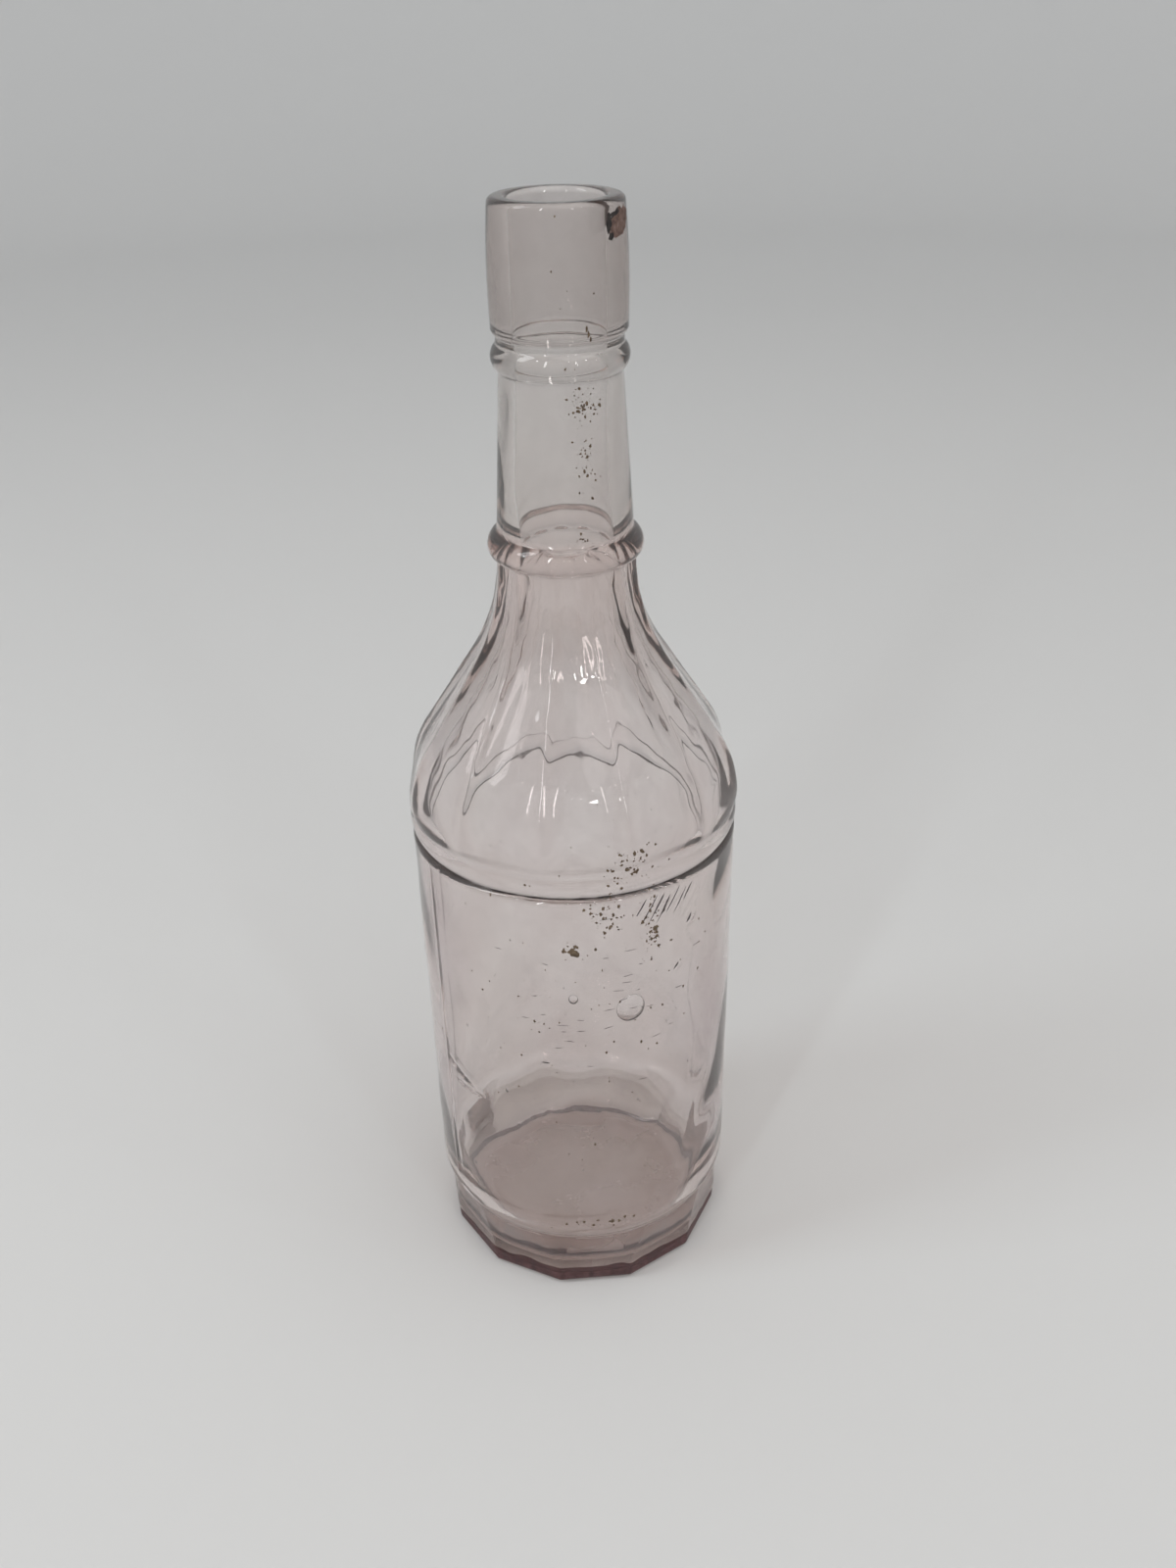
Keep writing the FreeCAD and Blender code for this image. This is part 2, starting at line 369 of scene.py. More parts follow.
def chill_mark(height):
    """Slanting ripples where the hot glass met a cold mould, just below the bead."""
    across = across_from(CHILL_PLACE[0])
    above = height - CHILL_PLACE[1]
    patch = np.exp(-(across / CHILL_SPREAD[0]) ** 2 - (above / CHILL_SPREAD[1]) ** 2)
    wave = np.cos(tau * (across - CHILL_LEAN * above) / CHILL_PITCH)
    return -CHILL_DEPTH * patch * ((1 + wave) / 2) ** 2


def crescent_mark(height):
    """Small crescent dents."""
    depth = np.zeros(COLUMNS)
    for azimuth, middle, size in CRESCENTS:
        across, above = across_from(azimuth), height - middle
        ring = np.exp(-((np.hypot(across, above) - size) / (CRESCENT_WIDTH * size)) ** 2)
        depth -= CRESCENT_DEPTH * ring * smooth_step((across - above) / size)
    return depth


def crease_mark(height):
    """A leaf-shaped fold in the skin of the glass."""
    depth = np.zeros(COLUMNS)
    for (first, low), (last, high) in CREASE_LINES:
        width, rise = BODY_RADIUS * radians(last - first), high - low
        across, above = across_from(first), height - low
        share = np.clip((across * width + above * rise) / (width ** 2 + rise ** 2), 0, 1)
        away = np.hypot(across - share * width, above - share * rise)
        tapered = np.sin(pi * np.clip(share, CREASE_START, 1))
        depth -= CREASE_DEPTH * tapered * np.exp(-(away / CREASE_WIDTH) ** 2)
    return depth


def body_marks(height):
    fade = smooth_step((height - BODY_EDGE_LOW) / MARK_FADES[0])
    fade *= smooth_step((BODY_EDGE_HIGH - height) / MARK_FADES[1])
    return fade * (seam_mark() + chill_mark(height) + crescent_mark(height) + crease_mark(height))


def level(radius, height):
    """One row of points around the axis; radius is a number or one value for each column."""
    return points_at(radius, ANGLES, height)


def outer_wave(height):
    """The outside is even at the foot and lip, which a tool formed, and uneven in between."""
    share = smooth_step((height - HEEL_TOP) / WAVE_GROWTH)
    share *= 1 - WAVE_LOSS * smooth_step((height - BODY_TOP) / WAVE_FADE)
    share *= 1 - smooth_step((height - NECK_TOP) / (LIP_FOOT - NECK_TOP))
    ripple = smooth_step((height - BEAD_TOP) / RIPPLE_FADES[0])
    ripple *= 1 - smooth_step((height - SHOULDER_TOP) / RIPPLE_FADES[1])
    return OUTER_WAVE * share * OUTER_WAVES.depth(height) + SHOULDER_RIPPLE * ripple * RIPPLES.depth(height)


def inner_wave(height):
    share = smooth_step((height - SHOULDER_BULGE) / (SHOULDER_TOP - SHOULDER_BULGE))
    depth = INNER_WAVE + (NECK_INNER_WAVE - INNER_WAVE) * share
    depth *= 1 - smooth_step((height - NECK_TOP) / (LIP_FOOT - NECK_TOP))
    return depth * INNER_WAVES.depth(height)


def outer_level(radius, height):
    return level(radius + outer_wave(height), height)


def outer_rows(profile):
    """Rows of the outside from points (radius, height) of a plain profile."""
    return [outer_level(radius, height) for radius, height in profile]


def inner_level(radius, height):
    return level(radius + inner_wave(height), height)


def base_under_rows():
    """The push-up under the base, from its middle out to the resting ring."""
    dome = arc_radius(PUSH_UP, BASE_RADIUS)
    radii = np.linspace(POLE_RADIUS, BASE_RADIUS, 40)
    return [level(radius, PUSH_UP - dome + sqrt(dome ** 2 - radius ** 2)) for radius in radii]


def heel_outer_rows():
    """The resting ring, the rounded foot, the flats, and the edge that ends them below the round heel."""
    foot_edge = facet_radius(0.0)
    rows = [level(BASE_RADIUS + (foot_edge - BASE_RADIUS) * share, 0.0) for share in np.linspace(0, 1, 6)]
    rounds = FOOT_ROUND * (1 - np.cos(np.linspace(0, pi / 2, 10)[1:]))
    sides = np.linspace(FOOT_ROUND, FACET_TOP - FACET_EDGE[0], 22)[1:]
    rows.extend(level(facet_radius(height), height) for height in (*rounds, *sides))
    last = facet_radius(FACET_TOP)
    for share in (0.15, 0.5, 0.85):
        height = FACET_TOP + FACET_EDGE_SLOPE * (share - 0.5)
        rows.append(level(last + (HEEL_RADIUS - last) * share, height))
    rows.extend(level(HEEL_RADIUS, height) for height in (FACET_TOP + FACET_EDGE[1], HEEL_TOP))
    return rows


def body_outer_rows():
    def edge_arc(end, edge):
        """A small arc from an end of the panel to the edge where its straight side starts."""
        middle = ((end[0] + 2 * edge[0]) / 3, (2 * end[1] + edge[1]) / 3)
        return arc_through(end, middle, edge, 8)

    edge_low, edge_high = (BODY_RADIUS_LOW, BODY_EDGE_LOW), (BODY_RADIUS_HIGH, BODY_EDGE_HIGH)
    profile = joined(edge_arc((HEEL_RADIUS, HEEL_TOP), edge_low), straight(edge_low, edge_high, 170),
                     edge_arc((LOWER_GROOVE_RADIUS, BODY_TOP), edge_high)[::-1])
    return [outer_level(radius + body_marks(height), height) for radius, height in profile]


def bead_outer_rows():
    return outer_rows(arc_through((LOWER_GROOVE_RADIUS, BODY_TOP), (BEAD_RADIUS, BEAD_CREST),
                                  (UPPER_GROOVE_RADIUS, BEAD_TOP), 18))


def shoulder_outer_rows():
    return [outer_level(fluted_radius(height), height)
            for height in np.linspace(BEAD_TOP, SHOULDER_TOP, 110)]


def lower_ring_outer_rows():
    """The flutes run a little way into the ring's underside and end there."""
    profile = arc_through((SHOULDER_NECK_RADIUS, SHOULDER_TOP),
                          (LOWER_RING_RADIUS, (SHOULDER_TOP + LOWER_RING_TOP) / 2),
                          (NECK_RADIUS_LOW, LOWER_RING_TOP), 18)
    fluting = fluted_radius(SHOULDER_TOP) - SHOULDER_NECK_RADIUS
    rows = []
    for radius, height in profile:
        fade = 1 - smooth_step((height - SHOULDER_TOP) / FLUTE_RUN_OUT)
        rows.append(outer_level(radius + fluting * fade, height))
    return rows


def neck_outer_rows():
    return outer_rows(straight((NECK_RADIUS_LOW, LOWER_RING_TOP), (NECK_RADIUS_HIGH, NECK_TOP), 44))


def upper_ring_outer_rows():
    low, crest = (NECK_RADIUS_HIGH, NECK_TOP), (UPPER_RING_RADIUS, UPPER_RING_CREST)
    foot, high = (LIP_GROOVE_RADIUS, UPPER_RING_FOOT), (LIP_GROOVE_RADIUS, LIP_FOOT)
    return outer_rows(joined(arc_through(low, crest, foot, 18), straight(foot, high, 5)))


def lip_rows():
    """Outside of the lip, over the rim and down the bore."""
    low = (LIP_GROOVE_RADIUS, LIP_FOOT)
    side_low = (LIP_FOOT_RADIUS, LIP_FOOT + LIP_FOOT_ROUND)
    side_high = (LIP_TOP_RADIUS, HEIGHT - RIM_ROUND)
    rim = (LIP_TOP_RADIUS - RIM_ROUND, HEIGHT)
    mouth = (BORE_RADIUS + MOUTH_ROUND, HEIGHT)
    bore_top = (BORE_RADIUS, HEIGHT - MOUTH_ROUND)
    side = arc_through(side_low, (LIP_RADIUS, LIP_WIDEST), side_high, 56)
    marks = np.random.RandomState(5).uniform(-TOOL_MARK, 0, len(side))
    side = [(radius + mark, height) for (radius, height), mark in zip(side, marks)]
    profile = joined(corner_arc(low, (LIP_FOOT_RADIUS, LIP_FOOT), side_low), side,
                     corner_arc(side_high, (LIP_TOP_RADIUS, HEIGHT), rim),
                     straight(rim, mouth, 4),
                     corner_arc(mouth, (BORE_RADIUS, HEIGHT), bore_top),
                     straight(bore_top, (BORE_RADIUS, LIP_FOOT), 34))
    return [level(radius, height) for radius, height in profile]


def inner_facets(share):
    """What is left of a radius of the hollow's foot where it softly follows the flats outside."""
    polygon = softened(cos(HALF_DIVISION) / np.cos(OFF_MIDDLE), INNER_FACET_ROUND / HEEL_BORE)
    return 1 - (1 - polygon) * share


def inner_radius(height):
    """Radii of the hollow at a level between the floor's corner and the lip."""
    if height <= WALL_FOOT:
        share = 1 - smooth_step((height - CORNER_TOP) / (INNER_FACET_TOP - CORNER_TOP))
        return INNER_FOOT.wall_radius(height) * inner_facets(share)
    if height <= BEAD_TOP:
        return BODY_BORE
    if height <= SHOULDER_TOP:
        return inner_fluted_radius(INNER_OGEE.radius(height), flute_share(height))
    share = (height - SHOULDER_TOP) / (LIP_FOOT - SHOULDER_TOP)
    fade = 1 - smooth_step((height - SHOULDER_TOP) / INNER_FLUTE_FADE)
    return inner_fluted_radius(NECK_BORE_LOW + (BORE_RADIUS - NECK_BORE_LOW) * share, fade)


def inner_rows(high, low, count):
    """Rows of the hollow's wall from a higher level down to a lower one."""
    return [inner_level(inner_radius(height), height) for height in np.linspace(high, low, count)]


def heel_inner_rows():
    rows = inner_rows(HEEL_TOP, CORNER_TOP, 9)
    for turn in np.linspace(INNER_FOOT.wall_turn, INNER_FOOT.base_turn, 16)[1:]:
        radius, height = INNER_FOOT.corner(turn)
        share = smooth_step((radius - BASE_RADIUS) / (HEEL_BORE - BASE_RADIUS))
        rows.append(inner_level(radius * inner_facets(share), height))
    return rows


def floor_rows():
    """The floor of the hollow, from the base's edge in to its middle."""
    turns = np.linspace(INNER_FOOT.base_turn, pi / 2, 6)
    rows = [inner_level(*INNER_FOOT.corner(turn)) for turn in turns]
    flat = INNER_FOOT.flat_radius
    for radius in np.linspace(flat, POLE_RADIUS, 36)[1:]:
        share = (flat - radius) / flat
        row = level(radius + inner_wave(FLOOR_HEIGHT) * (1 - share), FLOOR_HEIGHT)
        row[:, 2] += (FLOOR_CROWN - FLOOR_HEIGHT) * smooth_step(share)
        rows.append(row)
    return rows


# Each piece: rows of its outside from the bottom up, then rows of its inside from the top down
PIECES = {
    "base": (base_under_rows(), floor_rows()),
    "faceted_heel": (heel_outer_rows(), heel_inner_rows()),
    "body": (body_outer_rows(), inner_rows(BODY_TOP, HEEL_TOP, 90)),
    "shoulder_bead": (bead_outer_rows(), inner_rows(BEAD_TOP, BODY_TOP, 6)),
    "fluted_shoulder": (shoulder_outer_rows(), inner_rows(SHOULDER_TOP, BEAD_TOP, 64)),
    "lower_neck_ring": (lower_ring_outer_rows(), inner_rows(LOWER_RING_TOP, SHOULDER_TOP, 6)),
    "neck": (neck_outer_rows(), inner_rows(NECK_TOP, LOWER_RING_TOP, 26)),
    "upper_neck_ring": (upper_ring_outer_rows(), inner_rows(LIP_FOOT, NECK_TOP, 7)),
    "lip": (lip_rows(), []),
}
ORDER = list(PIECES)


def unit(vectors):
    """Vectors of length 1 in the same directions."""
    return vectors / (np.linalg.norm(vectors, axis=-1, keepdims=True) + TINY)


def skin_normals():
    """Normals of the whole skin, so that neighbouring pieces shade alike where they meet."""
    rows, spans = [], {}
    for name, side in [(name, 0) for name in ORDER] + [(name, 1) for name in reversed(ORDER)]:
        piece_rows = PIECES[name][side]
        shared = 1 if rows and piece_rows else 0
        first = len(rows) - shared
        spans[name, side] = (first, first + len(piece_rows))
        rows.extend(piece_rows[shared:])
    grid = np.array(rows)
    across = np.roll(grid, -1, axis=1) - np.roll(grid, 1, axis=1)
    steps = unit(np.diff(grid, axis=0))
    along = np.concatenate([steps[:1], steps[:-1] + steps[1:], steps[-1:]])
    normals = unit(np.cross(across, along))
    return {key: normals[first:last] for key, (first, last) in spans.items()}


NORMALS = skin_normals()


def link(name, data):
    """A new object in the scene, of a mesh, lamp or camera."""
    made = bpy.data.objects.new(name, data)
    bpy.context.scene.collection.objects.link(made)
    return made


def smooth_mesh(name, points, faces):
    """A smoothly shaded mesh from points in metres."""
    mesh = bpy.data.meshes.new(name)
    mesh.from_pydata(points.tolist(), [], faces)
    mesh.polygons.foreach_set("use_smooth", np.ones(len(faces), dtype=bool))
    return mesh


def band_faces(row, after, width):
    """Faces between two rings of that many points; row and after are the rings' first indices."""
    here = np.arange(width)
    beside = np.roll(here, -1)
    return np.stack([row + here, row + beside, after + beside, after + here], axis=1)


class Shell:
    """A closed surface collected from grids of points, with its own normals and joint flags."""

    def __init__(self):
        self.points, self.faces, self.normals, self.joints = [], [], [], []

    def add_points(self, points):
        self.points.append(points)
        return sum(map(len, self.points[:-1]))

    def add_faces(self, faces, normals, joint=False):
        self.faces.extend(faces.tolist())
        self.normals.append(normals.reshape(-1, 3))
        self.joints.extend([float(joint)] * len(faces))

    def strip(self, row, after, row_normals, after_normals, joint=False):
        """Faces between two rings of points, with the normals of both rings."""
        corners = np.stack([row_normals, np.roll(row_normals, -1, axis=0),
                            np.roll(after_normals, -1, axis=0), after_normals], axis=1)
        self.add_faces(band_faces(row, after, len(row_normals)), corners, joint)

    def fan(self, ring, width, middle, normal, facing_down):
        """Triangles from a ring of points to one point in its middle."""
        tip = self.add_points(np.array([middle]))
        here = ring + np.arange(width)
        faces = np.stack([np.full(width, tip), np.roll(here, -1), here], axis=1)
        if not facing_down:
            faces = faces[:, ::-1]
        self.add_faces(faces, np.tile(np.array(normal, float), (width, 3, 1)))

    def make(self, name):
        mesh = smooth_mesh(name, np.concatenate(self.points) * MM, self.faces)
        flags = mesh.attributes.new("joint_face", "FLOAT", "FACE")
        flags.data.foreach_set("value", np.array(self.joints, dtype=np.float32))
        mesh.update()
        mesh.normals_split_custom_set(np.concatenate(self.normals).tolist())
        return link(name, mesh)


def end_shifts(name):
    """Hair-fine shifts of a piece's end rows (outside low, outside high, inside high, inside low)."""
    gap = PIECE_GAP / 2
    up, out, none = np.array([0.0, 0.0, gap]), level(gap, 0.0), np.zeros(3)
    if name == "base":
        return none, -out, -out, none
    if name == "faceted_heel":
        return out, -up, -up, out
    if name == "lip":
        return up, up, none, none
    return up, -up, -up, up


def glass_piece(name):
    """One closed region of the bottle: outside, inside, and the faces that meet its neighbours."""
    outside, inside = ([row.copy() for row in rows] for rows in PIECES[name])
    ends = [stretch[end] for stretch in (outside, inside) if stretch for end in (0, -1)]
    for row, shift in zip(ends, end_shifts(name)):
        row += shift
    rows = outside + inside
    normals = np.concatenate([NORMALS[name, side] for side in (0, 1)])
    shell = Shell()
    firsts = [shell.add_points(row) for row in rows]
    closing = set() if name == "base" else {len(rows) - 1}
    if inside:
        closing.add(len(outside) - 1)
    for index in range(len(rows)):
        after = (index + 1) % len(rows)
        if index in closing:
            along = np.roll(rows[index], -1, axis=0) - rows[index]
            facing = unit(np.cross(along, rows[after] - rows[index]))
            shell.strip(firsts[index], firsts[after], facing, facing, joint=True)
        elif after:
            shell.strip(firsts[index], firsts[after], normals[index], normals[after])
    if name == "base":
        shell.fan(firsts[0], COLUMNS, rows[0].mean(axis=0), (0, 0, -1), True)
        shell.fan(firsts[-1], COLUMNS, rows[-1].mean(axis=0), (0, 0, 1), False)
    if name == "body":
        for bubble in (*BLISTERS, *seed_bubbles()):
            add_bubble(shell, *bubble)
    return shell.make(name + "_glass")


# Air bubbles in the wall: azimuth, height, distance from the axis, half width, half height, half depth
BLISTERS = ((18.5, 100.7, 41.05, 3.8, 4.2, 0.5), (-2.0, 105.5, 41.1, 1.2, 1.5, 0.35))
SEED_COUNT = 70
SEED_SIZES = (0.12, 0.42)
SEED_HEIGHTS = (30, 130)
SEED_DISTANCES = (-0.5, 0.5)
SEED_MIDDLE = 41.0
SEED_STRETCH = (1.0, 2.2)
SEED_FLATNESS = 0.7
BLISTER_FINENESS = (48, 20)
SEED_FINENESS = (12, 7)


def seed_bubbles():
    draw = np.random.RandomState(41)
    seeds = []
    for _ in range(SEED_COUNT):
        size = draw.uniform(*SEED_SIZES)
        seeds.append((draw.uniform(-180, 180), draw.uniform(*SEED_HEIGHTS),
                      SEED_MIDDLE + draw.uniform(*SEED_DISTANCES),
                      size, size * draw.uniform(*SEED_STRETCH), size * SEED_FLATNESS))
    return seeds


def add_bubble(shell, azimuth, height, distance, half_width, half_height, half_depth):
    """A flattened hollow inside the wall, following its curve; its skin faces the air within."""
    segments, rings = BLISTER_FINENESS if half_width > max(SEED_SIZES) else SEED_FINENESS
    turns = np.linspace(0, tau, segments, endpoint=False)
    sizes = np.array([half_width, half_height, half_depth])
    rows, normals = [], []
    for lean in np.linspace(0, pi, rings + 1)[1:-1]:
        unit = np.stack([np.cos(turns) * sin(lean), np.sin(turns) * sin(lean),
                         np.full(segments, cos(lean))], axis=1)
        rows.append(on_wall(azimuth, height, distance, unit * sizes))
        normals.append(-wall_direction(azimuth, unit / sizes))
    firsts = [shell.add_points(row) for row in rows]
    for index in range(len(rows) - 1):
        shell.strip(firsts[index], firsts[index + 1], normals[index], normals[index + 1])
    tips = on_wall(azimuth, height, distance, np.array([[0, 0, half_depth], [0, 0, -half_depth]]))
    facing = wall_direction(azimuth, np.array([[0, 0, -1.0], [0, 0, 1.0]]))
    shell.fan(firsts[0], segments, tips[0], facing[0], True)
    shell.fan(firsts[-1], segments, tips[1], facing[1], False)


def on_wall(azimuth, height, distance, offsets):
    """Points given as offsets along the wall, up and out from a place on it."""
    turn = turn_at(azimuth) + offsets[:, 0] / distance
    return points_at(distance + offsets[:, 2], turn, height + offsets[:, 1])


def wall_direction(azimuth, vectors):
    """Unit directions in the frame from vectors along the wall, up and out."""
    return unit(vectors @ [around(1.0, azimuth + 90, 0.0), (0.0, 0.0, 1.0), around(1.0, azimuth, 0.0)])


def feed(tree, socket, value):
    """Give an input a value, or link it to another node's output."""
    if isinstance(value, bpy.types.NodeSocket):
        tree.links.new(value, socket)
    else:
        socket.default_value = value


def node(tree, kind, **inputs):
    """A node of a material; each input is a value or another node's output."""
    made = tree.nodes.new("ShaderNode" + kind)
    for name, value in inputs.items():
        feed(tree, made.inputs[name.replace("_", " ")], value)
    return made


def calculated(tree, kind, operation, *inputs):
    """The number that an operation makes of numbers (Math) or of vectors (VectorMath)."""
    made = node(tree, kind)
    made.operation = operation
    for socket, value in zip(made.inputs, inputs):
        feed(tree, socket, value)
    return made.outputs["Value"]


def largest_of(tree, first, *others):
    for other in others:
        first = calculated(tree, "Math", "MAXIMUM", first, other)
    return first


def mapped(tree, value, given=(0.0, 1.0), wanted=(0.0, 1.0), smooth=False):
    """A number carried from the given range to the wanted one."""
    made = node(tree, "MapRange", Value=value, From_Min=given[0], From_Max=given[1],
                To_Min=wanted[0], To_Max=wanted[1])
    if smooth:
        made.interpolation_type = "SMOOTHSTEP"
    return made.outputs["Result"]


def place_in(tree, scale=(1.0, 1.0, 1.0)):
    """Where a point lies in the frame, in metres, scaled along each axis."""
    place = node(tree, "TexCoord").outputs["Object"]
    return node(tree, "Mapping", Vector=place, Scale=scale).outputs["Vector"]


def height_in(tree, place):
    return node(tree, "SeparateXYZ", Vector=place).outputs["Z"]


def noise(tree, place, scale, detail, roughness):
    made = node(tree, "TexNoise", Vector=place, Scale=scale, Detail=detail, Roughness=roughness)
    return made.outputs["Fac"]


def bump(tree, height, strength, distance):
    """Normals of a surface that a pattern raises by that distance in metres."""
    return node(tree, "Bump", Height=height, Strength=strength, Distance=distance).outputs["Normal"]


def mixed_colour(tree, share, first, second):
    """A colour between the first and the second."""
    made = node(tree, "Mix")
    made.data_type = "RGBA"
    for name, value in (("Factor", share), ("A", first), ("B", second)):
        feed(tree, made.inputs[name], value)
    return made.outputs["Result"]


def shader(tree, kind, **inputs):
    return node(tree, "Bsdf" + kind, **inputs).outputs["BSDF"]


def mixed_shader(tree, share, first, second):
    """The first where the share is 0, the second where it is 1."""
    made = node(tree, "MixShader")
    for socket, value in zip(made.inputs, (share, first, second)):
        feed(tree, socket, value)
    return made.outputs["Shader"]


def ramp(tree, value, stops):
    """Colours along a value, from (position, colour) stops."""
    made = node(tree, "ValToRGB", Fac=value)
    elements = made.color_ramp.elements
    while len(elements) < len(stops):
        elements.new(0.5)
    for element, (position, colour) in zip(elements, stops):
        element.position = position
        element.color = (*colour, 1)
    return made.outputs["Color"]


def new_material(name):
    material = bpy.data.materials.new(name)
    material.use_nodes = True
    material.node_tree.nodes.clear()
    return material, material.node_tree


# Glass: how much light a metre of it takes away, by colour, and how strongly it bends light
BLOWN_GLASS = {"Color": (0.46, 0.12, 0.0, 1.0), "Density": 31.0}
LIP_GLASS = {"Color": (0.27, 0.09, 0.0, 1.0), "Density": 45.5}
NECK_GLASS = {"Color": (0.27, 0.12, 0.01, 1.0), "Density": 34.0}
HEEL_GLASS = {"Color": (0.46, 0.12, 0.0, 1.0), "Density": 20.0}
BASE_GLASS = {"Color": (0.42, 0.12, 0.0, 1.0), "Density": 42.0}
GLASS_INDEX = 1.5

# What one surface of the glass lets through to what stands behind it in the light: less at its resting
# ring, where it touches the floor, than above a height in metres
CONTACT_HEIGHT = 0.0014
LET_THROUGH = ((0.15, (0.74, 0.68, 0.67)), (0.8, (0.84, 0.82, 0.81)))

# Haze on old glass: scale, detail and roughness of its pattern, its tints from clean to dull, the part of
# the pattern over which the rest changes, and how rough (worn: the base) and how clear the glass is where
# clean and where dull
HAZE_PATTERN = (38.0, 6.0, 0.6)
HAZE_TINTS = ((0.35, (0.998, 0.996, 0.996)), (0.75, (0.93, 0.905, 0.912)))
HAZE_SPAN = (0.42, 0.74)
HAZE_ROUGHNESS = (0.012, 0.07)
WORN_ROUGHNESS = (0.22, 0.34)
HAZE_CLEARNESS = (0.975, 0.91)

# Fine grain of the surface: scale, detail and roughness of its pattern, strength and depth in metres
GRAIN_PATTERN = (160.0, 3.0, 0.55)
GRAIN_BUMP = (0.05, 0.0004)

# Purple tint on the sides of the body, partly the glass's uneven purple and partly painted shade of the
# body's darker edges:
# azimuth, height and reach around it, twice as far up and down
SIDE_SHADES = ((-66.0, 114.0, 25.0), (-72.0, 62.0, 22.0), (60.0, 84.0, 25.0), (68.0, 44.0, 20.0))
SIDE_SHADE_TINT = (0.85, 0.815, 0.84, 1.0)
SIDE_SHADE_SQUEEZE = (1.0, 1.0, 0.5)

# Painted shade low in the glass, round the foot and in the floor's corner, slanting higher towards the
# back: its height on the axis, its rise towards the back, how far down it fades, the radii between which it
# begins, and its strength from there up
LOW_SHADE_HEIGHT = 8.4
LOW_SHADE_RISE = 0.23
LOW_SHADE_FADE = 8.0
LOW_SHADE_RADII = (31.0, 34.0)
LOW_SHADE_TINT = (0.63, 0.585, 0.56, 1.0)
LOW_SHADE_STOPS = ((0.0, 0.25), (0.5, 0.8), (0.92, 1.0), (1.0, 0.0))


def side_shade_share(tree):
    """How strongly a point of the glass is tinted by the purple side tint, which is partly painted shade.
    """
    place = place_in(tree, SIDE_SHADE_SQUEEZE)
    shares = []
    for azimuth, height, reach in SIDE_SHADES:
        middle = Vector(around(BODY_RADIUS, azimuth, height)) * MM
        away = calculated(tree, "VectorMath", "DISTANCE", place, middle * Vector(SIDE_SHADE_SQUEEZE))
        shares.append(mapped(tree, away, (reach * MM, 0.0), smooth=True))
    return largest_of(tree, *shares)


def low_shade_share(tree):
    """How strongly a point of the glass is tinted by the painted shade low round the foot and in the
    floor's corner.
    """
    raised = calculated(tree, "VectorMath", "DOT_PRODUCT", place_in(tree), (0.0, -LOW_SHADE_RISE, 1.0))
    below = mapped(tree, raised, ((LOW_SHADE_HEIGHT - LOW_SHADE_FADE) * MM, LOW_SHADE_HEIGHT * MM))
    dark_layer = ramp(tree, below, [(position, (strength,) * 3) for position, strength in LOW_SHADE_STOPS])
    radius = calculated(tree, "VectorMath", "LENGTH", place_in(tree, (1.0, 1.0, 0.0)))
    outer = mapped(tree, radius, (LOW_SHADE_RADII[0] * MM, LOW_SHADE_RADII[1] * MM))
    return calculated(tree, "Math", "MULTIPLY", dark_layer, outer)


def glass_surface(tree, roughness):
    """Clear glass with patches of haze, a purple side tint that is partly painted shade, painted shade low
    round the foot, and a fine grain.
    """
    place = place_in(tree)
    haze = noise(tree, place, *HAZE_PATTERN)
    colour = ramp(tree, haze, HAZE_TINTS)
    colour = mixed_colour(tree, side_shade_share(tree), colour, SIDE_SHADE_TINT)
    colour = mixed_colour(tree, low_shade_share(tree), colour, LOW_SHADE_TINT)
    return shader(tree, "Principled", Base_Color=colour, IOR=GLASS_INDEX,
                  Roughness=mapped(tree, haze, HAZE_SPAN, roughness),
                  Transmission_Weight=mapped(tree, haze, HAZE_SPAN, HAZE_CLEARNESS),
                  Normal=bump(tree, noise(tree, place, *GRAIN_PATTERN), *GRAIN_BUMP))


def glass_material(name, absorption, roughness=HAZE_ROUGHNESS):
    """Glass tinted by its thickness; faces between two pieces don't show, and lamplight passes softly."""
    material, tree = new_material(name)
    flags = node(tree, "Attribute")
    flags.attribute_name = "joint_face"
    joint = flags.outputs["Fac"]
    low = mapped(tree, height_in(tree, place_in(tree)), (0.0, CONTACT_HEIGHT))
    shade = mixed_colour(tree, joint, ramp(tree, low, LET_THROUGH), (1, 1, 1, 1))
    path = node(tree, "LightPath").outputs
    see_through = largest_of(tree, path["Is Shadow Ray"], path["Is Diffuse Ray"], joint)
    surface = mixed_shader(tree, see_through, glass_surface(tree, roughness),
                           shader(tree, "Transparent", Color=shade))
    volume = node(tree, "VolumeAbsorption", **absorption).outputs["Volume"]
    node(tree, "OutputMaterial", Surface=surface, Volume=volume)
    return material


def build_glass():
    blown_glass = glass_material(SLOT, BLOWN_GLASS)
    neck_glass = glass_material(SLOT + "_neck", NECK_GLASS)
    own_glass = {"lip": glass_material(SLOT + "_lip", LIP_GLASS),
                 "upper_neck_ring": neck_glass,
                 "neck": neck_glass,
                 "faceted_heel": glass_material(SLOT + "_heel", HEEL_GLASS),
                 "base": glass_material(SLOT + "_base", BASE_GLASS, WORN_ROUGHNESS)}
    for name in ORDER:
        piece = glass_piece(name)
        piece.data.materials.append(own_glass.get(name, blown_glass))
        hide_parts(name)
        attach(piece, "root")


# Outer skin from the foot up to the rim, as heights of its rows and radii of their columns
SKIN = np.array([row for name in ORDER[1:] for row in PIECES[name][0]])
SKIN = SKIN[:SKIN[:, 0, 2].argmax() + 1]
SKIN_HEIGHTS = SKIN[:, 0, 2]
SKIN_RADII = np.hypot(SKIN[:, :, 0], SKIN[:, :, 1])


def skin_radius(turn, height):
    """Distance of the outer skin from the axis at a turn in radians and a height."""
    column = round((turn - ANGLES[0]) / ANGLE_STEP) % COLUMNS
    return np.interp(height, SKIN_HEIGHTS, SKIN_RADII[:, column])


